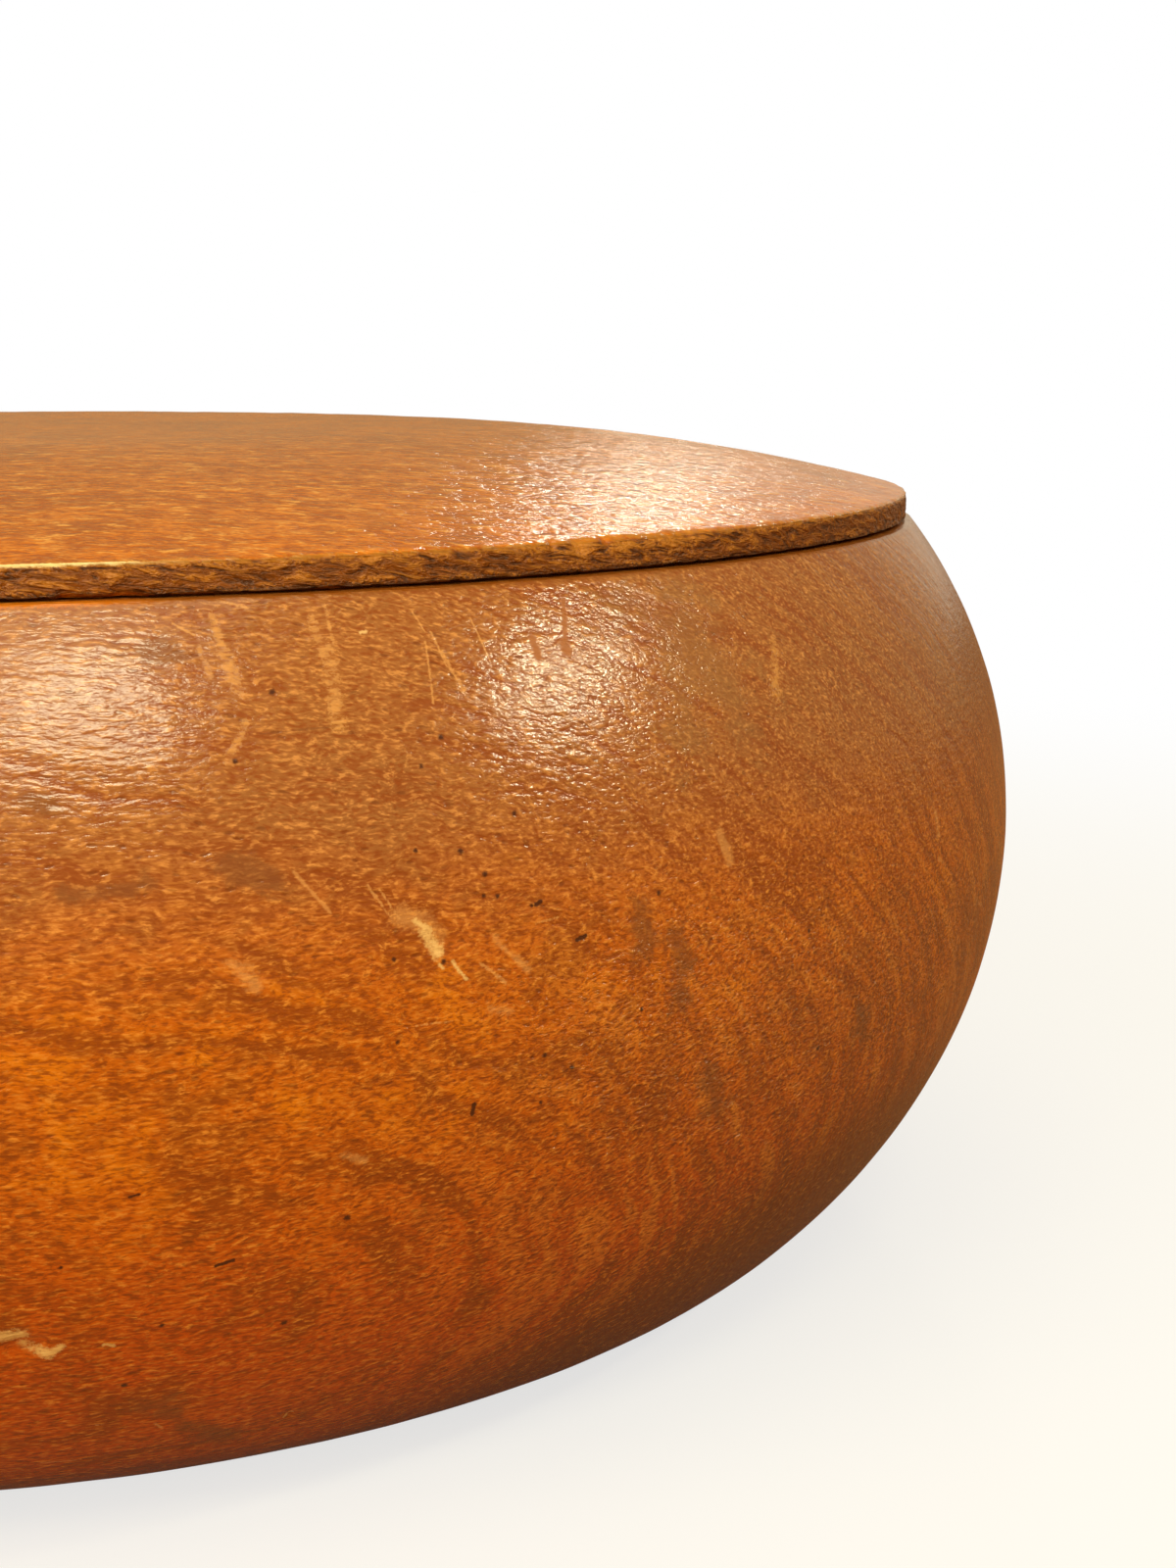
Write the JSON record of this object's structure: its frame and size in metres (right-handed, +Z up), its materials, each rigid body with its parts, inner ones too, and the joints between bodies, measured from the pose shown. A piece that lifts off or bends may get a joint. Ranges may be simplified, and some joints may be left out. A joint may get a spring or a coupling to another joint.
{
  "type": "turned wooden trinket box",
  "caption": "Low round turned wooden trinket box: a full-bellied bowl and a thin-edged, slightly domed lid with a spigot that lifts off.",
  "frame": {"origin": "centre of the foot, on the surface that the box stands on", "axes": "+Z up along the turning axis, the way the lid lifts; the wood's grain lies along X"},
  "size_m": [0.141, 0.141, 0.0552],
  "materials": {
    "bowl_wood": "stained red-brown, lacquered, worn",
    "lid_wood": "stained red-brown, lacquered, edge worn through to bare wood"
  },
  "bodies": {
    "bowl": {"bowl": "bowl_wood"},
    "lid": {"lid": "lid_wood"}
  },
  "joints": [
    {"name": "lid_lift", "type": "slide", "parent": "bowl", "child": "lid", "axis": [0, 0, 1], "range_m": [0, 0.08]}
  ]
}
